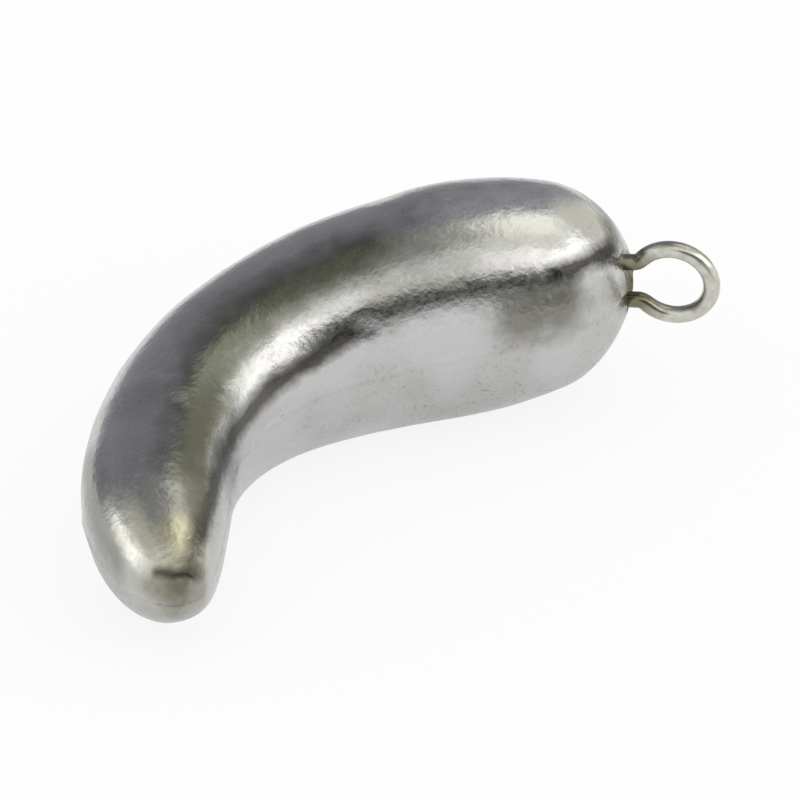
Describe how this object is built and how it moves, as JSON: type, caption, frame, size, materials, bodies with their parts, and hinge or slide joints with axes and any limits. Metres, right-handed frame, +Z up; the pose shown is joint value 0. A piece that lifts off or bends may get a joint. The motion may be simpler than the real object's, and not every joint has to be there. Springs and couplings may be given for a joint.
{
  "type": "fishing sinker",
  "caption": "Crescent-shaped cast lead fishing sinker, tapering to a rounded tip, with a bent wire ring eye cast into its thick end for a line or snap.",
  "frame": {"origin": "on the table the sinker lies on, under the middle of its bounding box", "axes": "+X runs from the thin tip towards the thick end and its eye, +Z is up from the table, and the hollow side of the crescent faces -Y"},
  "size_m": [0.0396, 0.0212, 0.0128],
  "materials": {
    "cast_lead": "bright bare lead as cast, fine grained and pitted",
    "tinned_wire": "drawn steel wire, dull tinned"
  },
  "bodies": {
    "root": {"lead_body": "cast_lead", "wire_eye": "tinned_wire"}
  },
  "joints": []
}
